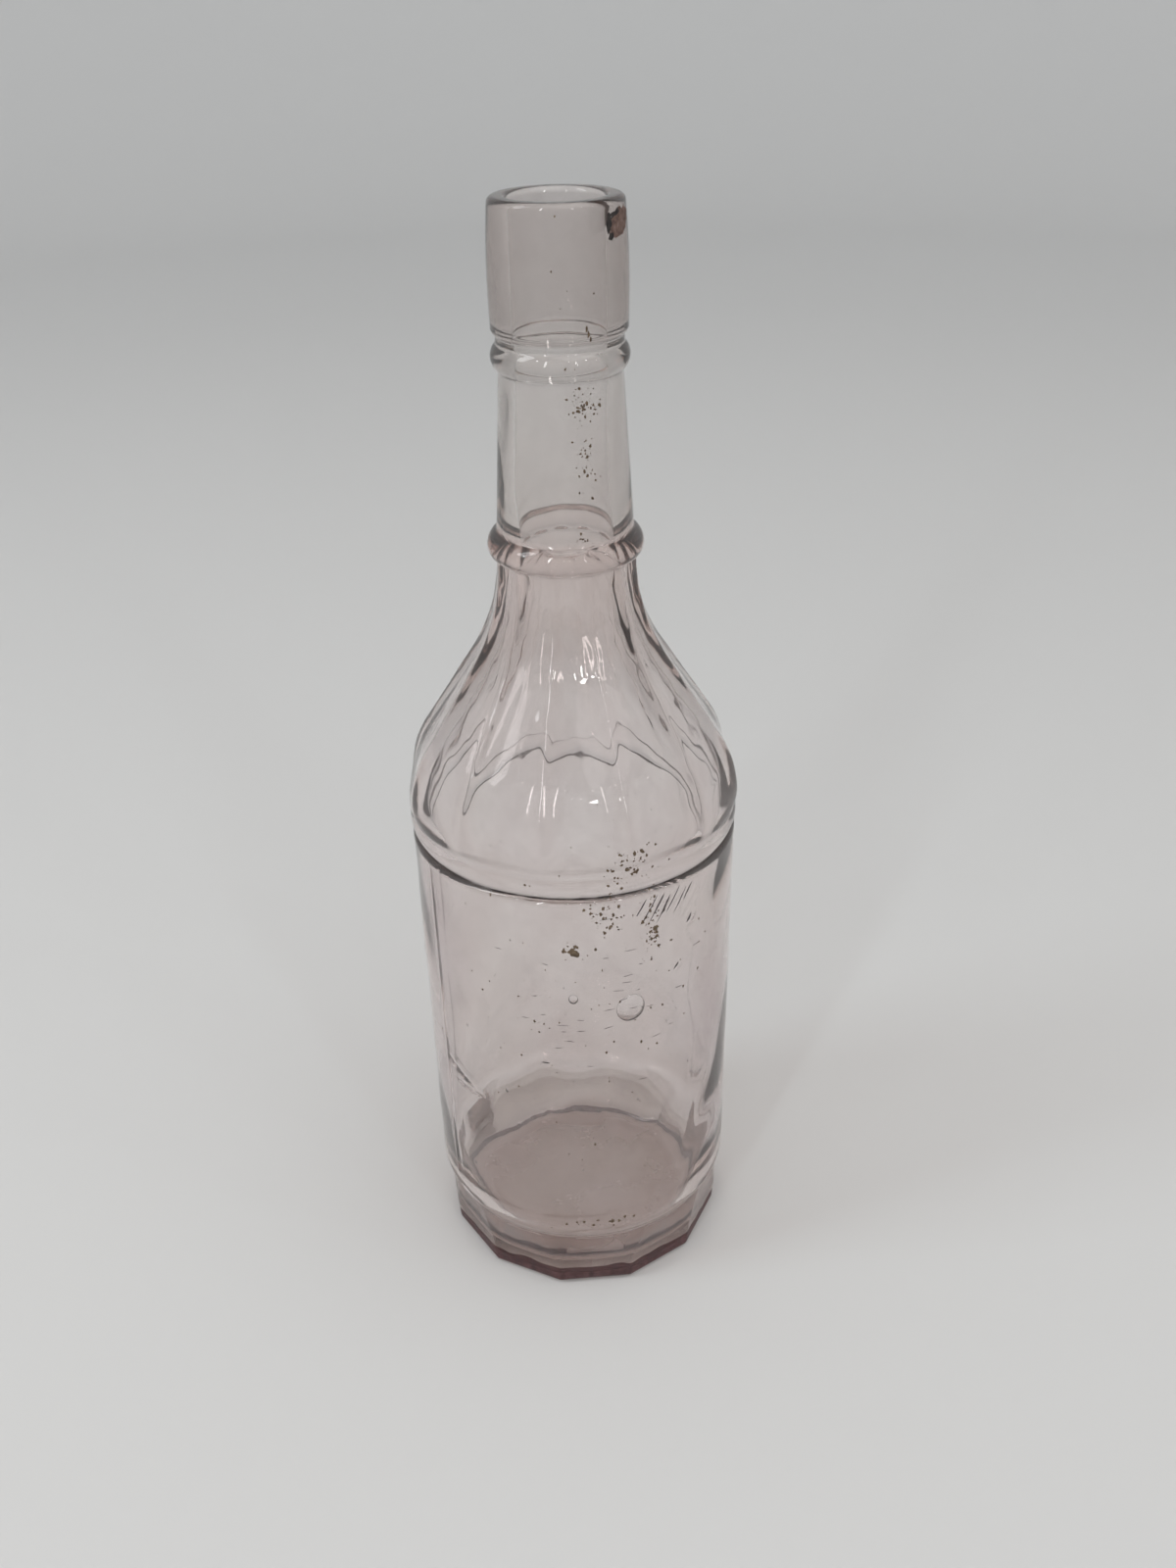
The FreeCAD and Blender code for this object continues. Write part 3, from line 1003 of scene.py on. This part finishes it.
# Old dirt, clusters of crumbs: azimuth and height of the middle, spread of both, count, largest half width
NECK_CLUSTERS = ((20.0, 249.3, 8.5, 2.4, 54, 0.40), (18.5, 238.5, 6.0, 7.0, 60, 0.34),
                 (14.0, 218.4, 5.0, 0.6, 14, 0.5), (10.0, 276.0, 20.0, 7.0, 12, 0.25))
BODY_CLUSTERS = ((10.5, 131.0, 3.6, 4.0, 60, 0.42), (25.5, 126.5, 1.7, 7.0, 60, 0.5),
                 (27.0, 122.5, 0.8, 1.6, 12, 0.7), (17.0, 145.0, 5.0, 3.0, 60, 0.5),
                 (-2.6, 121.6, 1.3, 0.9, 24, 0.6), (4.0, 98.0, 28.0, 22.0, 150, 0.36),
                 (1.5, 26.8, 9.0, 0.7, 18, 0.55))

# Single larger spots: azimuth, height, half width, half height
BLOTCHES = ((-1.5, 120.8, 1.2, 0.9), (-0.4, 120.1, 0.8, 0.8))
LIP_MARKS = ((21.8, 266.2, 0.28, 0.7), (23.4, 265.0, 0.3, 0.75), (25.2, 263.9, 0.25, 0.6))
SCRATCHES = (8.0, 102.0, 15.0, 15.0, 34)
SCRATCH_LENGTH = (0.5, 1.5)
SCRATCH_WIDTH = 0.075
SCRATCH_SLANT = 0.12
CHILL_LINES = ((22.0, 131.5, 2.2), (25.0, 130.2, 3.0), (28.2, 130.6, 3.4), (31.0, 129.6, 3.2),
               (34.2, 130.8, 3.0), (37.5, 130.0, 2.6), (41.0, 131.6, 2.0))
CHILL_LINE_WIDTH = 0.26
CHILL_LINE_LEAN = 0.62
CRESCENT_DIRT = (0.3, 0.75)
STAIN_PLACE = (61.5, 287.0)
STAIN_SIZE = (4.4, 2.7)
STAIN_SLANT = 0.25
STAIN_RAGGED = 0.10
STAIN_BLOTS = ((46.0, 287.2, 1.1, 1.7), (48.0, 284.6, 0.9, 0.9), (55.0, 289.0, 2.2, 0.6))

# Crusts: smallest share of the largest size, how rare large ones are, height to width; points around one,
# rings and lobes, for a crumb and for one of that half width or more; least reach of the outline, half
# thickness, lift of the rim; scale, detail and roughness of the grains' pattern, and their look
CRUMB_LEAST = 0.2
CRUMB_RARITY = 2.2
CRUMB_SHAPES = (0.6, 1.6)
CRUMB_FINENESS = (16, 6, 6)
LARGE_FINENESS = (96, 20, 15)
LARGE_SPOT = 1.5
LEAST_REACH = 0.3
DIRT_THICKNESS = 0.06
DIRT_SINK = 0.03
MATT_GRAIN_PATTERN = (900.0, 4.0, 0.7)
MATT_GRAIN_STOPS = (0.3, 0.55, 0.75)
MATT_GRAIN_ROUGHNESS = 0.9
MATT_GRAIN_BUMP = (0.6, 0.0001)


class Dirt:
    """Thin irregular crusts lying on the glass, collected into one mesh."""

    def __init__(self, seed):
        self.draw = np.random.RandomState(seed)
        self.points, self.faces = [], []

    def spot(self, azimuth, height, half_width, half_height, ragged=0.22, slant=0.0, lean=0.0):
        """One closed crust that follows the outside of the glass, sheared upwards or sideways."""
        segments, rings, most_lobes = LARGE_FINENESS if half_width > LARGE_SPOT else CRUMB_FINENESS
        turns = np.linspace(0, tau, segments, endpoint=False)
        outline = np.ones(segments)
        for lobes in range(2, most_lobes):
            swing = ragged / sqrt(lobes) * self.draw.normal()
            outline += swing * np.cos(lobes * turns + self.draw.uniform(0, tau))
        outline = np.maximum(outline, LEAST_REACH)
        middle = turn_at(azimuth)
        wall = skin_radius(middle, height)
        first = len(self.points)
        for tilt in np.linspace(0, pi, rings + 1)[1:-1]:
            spread = outline * sin(tilt)
            lift = DIRT_THICKNESS * cos(tilt) + DIRT_SINK * sin(tilt)
            along = half_width * spread * np.cos(turns)
            upwards = half_height * spread * np.sin(turns)
            places = middle + (along + lean * upwards) / wall
            self.add_ring(places, height + upwards + slant * along, lift)
        top = len(self.points)
        self.add_ring([middle], [height], DIRT_THICKNESS)
        self.add_ring([middle], [height], -DIRT_THICKNESS)
        last = first + (rings - 2) * segments
        for row in range(first, last, segments):
            self.faces.extend(band_faces(row + segments, row, segments).tolist())
        for here in range(segments):
            beside = (here + 1) % segments
            self.faces.append([top, first + here, first + beside])
            self.faces.append([top + 1, last + beside, last + here])

    def add_ring(self, turns, heights, lift):
        """Points that far off the outer skin at each turn and height."""
        for turn, height in zip(turns, heights):
            radius = skin_radius(turn, height) + lift
            self.points.append((radius * cos(turn), radius * sin(turn), height))

    def make(self, name, material):
        add_piece_on_glass(name, np.array(self.points), self.faces, material)


def add_piece_on_glass(name, points, faces, material):
    """A piece that stays on the bottle, from points in millimetres: dirt, or the painted shade in the
    groove and round the foot.
    """
    mesh = smooth_mesh(name, points * MM, faces)
    mesh.materials.append(material)
    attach(link(name, mesh), "root")


def dirt_and_shade_material(name, *shades):
    """Matt grains of three tones, from dark to light: dry soil, and for the groove's line painted shade
    with some dirt.
    """
    material, tree = new_material(name)
    grains = noise(tree, place_in(tree), *MATT_GRAIN_PATTERN)
    grainy_surface = shader(tree, "Principled", Base_Color=ramp(tree, grains, list(zip(MATT_GRAIN_STOPS, shades))),
                  Roughness=MATT_GRAIN_ROUGHNESS, Normal=bump(tree, grains, *MATT_GRAIN_BUMP))
    node(tree, "OutputMaterial", Surface=grainy_surface)
    return material


def crumbs(name, seed, clusters, spots, material):
    """Crumbs strewn around the middle of each cluster, many small and few large, and single spots."""
    dirt = Dirt(seed)
    draw = dirt.draw
    for azimuth, height, azimuth_spread, height_spread, count, largest in clusters:
        for _ in range(count):
            size = largest * (CRUMB_LEAST + (1 - CRUMB_LEAST) * draw.rand() ** CRUMB_RARITY)
            dirt.spot(draw.normal(azimuth, azimuth_spread), draw.normal(height, height_spread),
                      size, size * draw.uniform(*CRUMB_SHAPES))
    for spot in spots:
        dirt.spot(*spot)
    dirt.make(name, material)


def chill_lines(material):
    """Dirt held in the slanting chill marks and in the crescents."""
    dirt = Dirt(seed=6)
    for azimuth, height, half_length in CHILL_LINES:
        dirt.spot(azimuth, height, CHILL_LINE_WIDTH, half_length, lean=CHILL_LINE_LEAN)
    for azimuth, height, size in CRESCENTS:
        half_width, half_height = (size * share for share in CRESCENT_DIRT)
        dirt.spot(azimuth, height, half_width, half_height, lean=CHILL_LINE_LEAN)
    dirt.make("chill_lines", material)


def scratches(material):
    """Short level scratches with dirt in them, on the front of the body."""
    dirt = Dirt(seed=8)
    draw = dirt.draw
    azimuth, height, azimuth_spread, height_spread, count = SCRATCHES
    for _ in range(count):
        dirt.spot(draw.normal(azimuth, azimuth_spread), draw.normal(height, height_spread),
                  draw.uniform(*SCRATCH_LENGTH), SCRATCH_WIDTH, slant=draw.normal(0, SCRATCH_SLANT))
    dirt.make("body_scratches", material)


def lip_stain(material, blot_material):
    """A brown patch dried on under the rim, with darker blots along its front edge."""
    dirt = Dirt(seed=9)
    dirt.spot(*STAIN_PLACE, *STAIN_SIZE, ragged=STAIN_RAGGED, slant=STAIN_SLANT)
    dirt.make("lip_stain", material)
    blots = Dirt(seed=10)
    for blot in STAIN_BLOTS:
        blots.spot(*blot, slant=STAIN_SLANT)
    blots.make("lip_blots", blot_material)


# Dark line in the groove under the bead, painted shade of the groove with some dirt, thickest in front; its
# reach to both sides is in radians
GROOVE_SHADE_HEIGHT = 136.1
GROOVE_SHADE_HALF_HEIGHT = 0.36
GROOVE_SHADE_DEPTH = 0.26
GROOVE_SHADE_AZIMUTH = 10.0
GROOVE_SHADE_REACH = 1.5
GROOVE_SHADE_UNEVEN = 0.22
GROOVE_SHADE_THICKNESS = (0.06, 1.5)
GROOVE_SHADE_SINK = 0.02
GROOVE_SHADE_ROWS = 8


def groove_shade_and_grime(material):
    """A thin uneven dark line in the groove under the bead, painted shade with some dirt, all but gone at
    the back.
    """
    uneven = Waves(seed=17, count=14, most_lobes=60, shortest=50, longest=90).depth(0.0)
    thick = np.exp(-(turn_from(GROOVE_SHADE_AZIMUTH) / GROOVE_SHADE_REACH) ** 4)
    thick = np.clip(thick * (1 + GROOVE_SHADE_UNEVEN * uneven), *GROOVE_SHADE_THICKNESS)
    rows = []
    for turn in np.linspace(0, tau, GROOVE_SHADE_ROWS, endpoint=False):
        radius = LOWER_GROOVE_RADIUS - GROOVE_SHADE_SINK + GROOVE_SHADE_DEPTH * thick * cos(turn)
        row = level(radius, GROOVE_SHADE_HEIGHT)
        row[:, 2] += GROOVE_SHADE_HALF_HEIGHT * thick * sin(turn)
        rows.append(row)
    make_loop("groove_shade_and_grime", rows, material)


def make_loop(name, rows, material):
    """A closed band of painted shade with some dirt, from rows of points around the axis, the last joined
    to the first.
    """
    faces = []
    for index in range(len(rows)):
        after = (index + 1) % len(rows)
        faces.extend(band_faces(index * COLUMNS, after * COLUMNS, COLUMNS).tolist())
    add_piece_on_glass(name, np.concatenate(rows), faces, material)


# Dark band on the rounded edge of the foot, painted shade of the thick base glass where it stands on the
# floor, with some
# grime and wear: its heights in front and at the back, its reach to both sides in radians, and its film,
# which is thicker and thinner in streaks
FOOT_BAND_LOW = 0.25
FOOT_BAND_HIGH = 6.8
FOOT_BAND_BACK = 1.6
FOOT_BAND_REACH = 1.7
FOOT_BAND_UNEVEN = 0.04
FOOT_BAND_LIFT = 0.03
FOOT_BAND_ROWS = 14
FOOT_TABLE_TOP = 8.0
FOOT_BAND_CLEAR = (0.66, 0.54, 0.555, 1.0)
FOOT_BAND_COLOURS = ((0.3, (0.035, 0.02, 0.022)), (0.7, (0.12, 0.08, 0.083)))
FOOT_BAND_COVER = (0.5, 0.12)
FOOT_STREAKS = (1.0, 1.0, 0.12)
FOOT_PATTERN = (420.0, 4.0, 0.6)
FOOT_SPAN = (0.35, 0.65)
FOOT_ROUGHNESS = 0.25


def foot_shade_material():
    """A dark film of painted shade with some grime, letting some light through, thicker and thinner in
    upright streaks.
    """
    material, tree = new_material("foot_shade_and_dirt")
    streaks = noise(tree, place_in(tree, FOOT_STREAKS), *FOOT_PATTERN)
    colour = ramp(tree, streaks, FOOT_BAND_COLOURS)
    dark_layer = shader(tree, "Principled", Base_Color=colour, Roughness=FOOT_ROUGHNESS)
    clear = shader(tree, "Transparent", Color=FOOT_BAND_CLEAR)
    cover = mapped(tree, streaks, FOOT_SPAN, FOOT_BAND_COVER)
    node(tree, "OutputMaterial", Surface=mixed_shader(tree, cover, clear, dark_layer))
    return material


def foot_shade_and_grime(material):
    """A thin dark band round the foot, painted shade with some grime, highest in front, with an uneven
    edge, close on the glass.
    """
    uneven = Waves(seed=31, count=18, most_lobes=40, shortest=50, longest=90).depth(0.0)
    front = np.exp(-(turn_from(0.0) / FOOT_BAND_REACH) ** 4)
    top = FOOT_BAND_BACK + (FOOT_BAND_HIGH - FOOT_BAND_BACK) * front
    top = top * (1 + FOOT_BAND_UNEVEN * uneven)
    heights = np.linspace(0, FOOT_TABLE_TOP, 81)
    radii = np.array([facet_radius(height) for height in heights])
    shares = np.linspace(0, 1, FOOT_BAND_ROWS)
    rows = []
    for lift, order in ((FOOT_BAND_LIFT, shares), (-FOOT_BAND_LIFT, shares[::-1])):
        for share in order:
            height = FOOT_BAND_LOW + (top - FOOT_BAND_LOW) * share
            radius = [np.interp(height[column], heights, radii[:, column]) for column in range(COLUMNS)]
            row = level(np.array(radius) + lift, 0.0)
            row[:, 2] = height
            rows.append(row)
    make_loop("foot_shade_and_grime", rows, material)


def build_dirt_and_painted_shade():
    grainy_surface = dirt_and_shade_material("old_dirt", (0.045, 0.032, 0.02), (0.13, 0.09, 0.055), (0.26, 0.20, 0.14))
    stain = dirt_and_shade_material("brown_stain", (0.07, 0.042, 0.035), (0.17, 0.105, 0.085), (0.27, 0.19, 0.165))
    # The groove's dark line is painted shade with some dirt; the lip's blots in the same material are dirt
    dark_shade_and_dirt = dirt_and_shade_material("groove_shade_and_dirt", (0.012, 0.010, 0.010), (0.03, 0.025, 0.024), (0.09, 0.075, 0.07))
    marks = dirt_and_shade_material("mark_dirt", (0.035, 0.03, 0.03), (0.085, 0.072, 0.072), (0.17, 0.145, 0.145))
    crumbs("neck_dirt", 3, NECK_CLUSTERS, LIP_MARKS, grainy_surface)
    crumbs("body_dirt", 4, BODY_CLUSTERS, BLOTCHES, grainy_surface)
    lip_stain(stain, dark_shade_and_dirt)
    chill_lines(marks)
    scratches(marks)
    groove_shade_and_grime(dark_shade_and_dirt)
    foot_shade_and_grime(foot_shade_material())


# Floor and backdrop: one round dish, in metres
FLOOR_RADIUS = 1.75
SWEEP_RADIUS = 0.9
WALL_TOP = 2.4
STAGE_COLUMNS = 128
FLOOR_RINGS = (0.05, 0.3, 0.8, 1.3)
SWEEP_ROWS = 24
# Colours by distance from the middle, paler far out: painted light that makes up for the lamps' falloff on
# the far floor and the wall
FLOOR_COLOURS = ((0.05, (0.76, 0.75, 0.735)), (0.5, (0.77, 0.765, 0.755)), (1.0, (0.84, 0.84, 0.835)))
FLOOR_SPAN = 2.6
FLOOR_ROUGHNESS = 0.9
FLOOR_SHINE = 0.1


def build_stage():
    line = [(radius, 0.0) for radius in FLOOR_RINGS]
    line += [(FLOOR_RADIUS + SWEEP_RADIUS * sin(turn), SWEEP_RADIUS * (1 - cos(turn)))
             for turn in np.linspace(0, pi / 2, SWEEP_ROWS)]
    line.append((FLOOR_RADIUS + SWEEP_RADIUS, WALL_TOP))
    turns = np.linspace(0, tau, STAGE_COLUMNS, endpoint=False)
    points = np.concatenate([points_at(radius, turns, height) for radius, height in line])
    faces = [tuple(range(STAGE_COLUMNS))]
    for row in range(0, (len(line) - 1) * STAGE_COLUMNS, STAGE_COLUMNS):
        faces.extend(band_faces(row + STAGE_COLUMNS, row, STAGE_COLUMNS).tolist())
    mesh = smooth_mesh("dish", points, faces)
    mesh.materials.append(floor_material())
    floor = link("floor", mesh)


def floor_material():
    """Pale and matt, a little paler away from the middle: painted light that makes up for the lamps'
    falloff far out.
    """
    material, tree = new_material("pale_floor")
    away = calculated(tree, "VectorMath", "LENGTH", place_in(tree))
    colour = ramp(tree, mapped(tree, away, (0.0, FLOOR_SPAN)), FLOOR_COLOURS)
    surface = shader(tree, "Principled", Base_Color=colour, Roughness=FLOOR_ROUGHNESS,
                     Specular_IOR_Level=FLOOR_SHINE)
    node(tree, "OutputMaterial", Surface=surface)
    return material


def lamp(name, place, aim, size, power, colour=(1, 1, 1)):
    """A rectangular lamp of that width and height in metres, facing the aim."""
    light = bpy.data.lights.new(name, "AREA")
    light.shape = "RECTANGLE"
    light.size, light.size_y = size
    light.energy = power
    light.color = colour
    holder = link(name, light)
    holder.location = place
    holder.rotation_euler = (Vector(aim) - Vector(place)).to_track_quat("-Z", "Y").to_euler()


# Small ceiling lamps behind the camera, which glint on the flutes: azimuth, and height in metres
GLINT_LAMPS = ((-68.0, 1.30), (-44.0, 1.80), (-26.0, 1.22), (-13.0, 1.85), (-4.0, 1.28), (5.0, 1.22),
               (15.0, 1.80), (27.0, 1.30), (46.0, 1.75), (66.0, 1.30))
GLINT_DISTANCE = 1.9
GLINT_SIZE = (0.07, 0.07)
GLINT_POWER = 0.7
MIDDLE = (0.0, 0.0, 0.14)


def build_light():
    lamp("window_left", (-1.35, -0.4, 1.45), MIDDLE, (0.5, 1.1), 8.0, (0.95, 0.98, 1.0))
    lamp("strip_left", (-0.8, -1.6, 1.1), MIDDLE, (0.1, 1.2), 5.5)
    lamp("strip_right", (0.85, -1.6, 1.15), MIDDLE, (0.06, 1.1), 2.2)
    lamp("soft_top", (0.5, -0.5, 1.9), MIDDLE, (1.5, 1.5), 8.5)
    for index, (azimuth, height) in enumerate(GLINT_LAMPS):
        lamp(f"glint_{index}", around(GLINT_DISTANCE, azimuth, height), MIDDLE, GLINT_SIZE, GLINT_POWER)
    build_world()


# Brightness of the surroundings: as a light, and as seen in the glass at eye level and overhead
WORLD_COLOUR = (0.96, 0.98, 1.0, 1.0)
WORLD_LIGHT = 0.35
SEEN_LEVEL = 0.20
SEEN_OVERHEAD = 0.08


def build_world():
    world = bpy.data.worlds.new("studio")
    bpy.context.scene.world = world
    world.use_nodes = True
    tree = world.node_tree
    background = tree.nodes["Background"]
    background.inputs["Color"].default_value = WORLD_COLOUR
    height = height_in(tree, node(tree, "TexCoord").outputs["Generated"])
    seen = mapped(tree, height, wanted=(SEEN_LEVEL, SEEN_OVERHEAD))
    path = node(tree, "LightPath").outputs
    looked_at = largest_of(tree, path["Is Camera Ray"], path["Is Glossy Ray"], path["Is Transmission Ray"])
    feed(tree, background.inputs["Strength"], mapped(tree, looked_at, wanted=(WORLD_LIGHT, seen)))


# Camera: place in millimetres, turns in degrees down, to the right and about its own axis, lens and
# sensor in millimetres, and the nearest distance it sees in metres
CAMERA_PLACE = (0.0, -345.13, 340.22)
CAMERA_PITCH = 29.544
CAMERA_YAW = 0.67
CAMERA_ROLL = -1.336
CAMERA_LENS = 34.32
CAMERA_SENSOR = 36.0
CAMERA_NEAR = 0.01


def build_camera():
    camera = bpy.data.cameras.new("camera")
    camera.lens = CAMERA_LENS
    camera.sensor_width = CAMERA_SENSOR
    camera.clip_start = CAMERA_NEAR
    place = Matrix.Translation(Vector(CAMERA_PLACE) * MM)
    for turn, axis in ((-CAMERA_YAW, "Z"), (90 - CAMERA_PITCH, "X"), (CAMERA_ROLL, "Z")):
        place = place @ Matrix.Rotation(radians(turn), 4, axis)
    holder = link("camera", camera)
    holder.matrix_world = place
    bpy.context.scene.camera = holder


build_glass()
build_dirt_and_painted_shade()
build_stage()
build_light()
build_camera()
bpy.context.scene.view_settings.view_transform = "Standard"
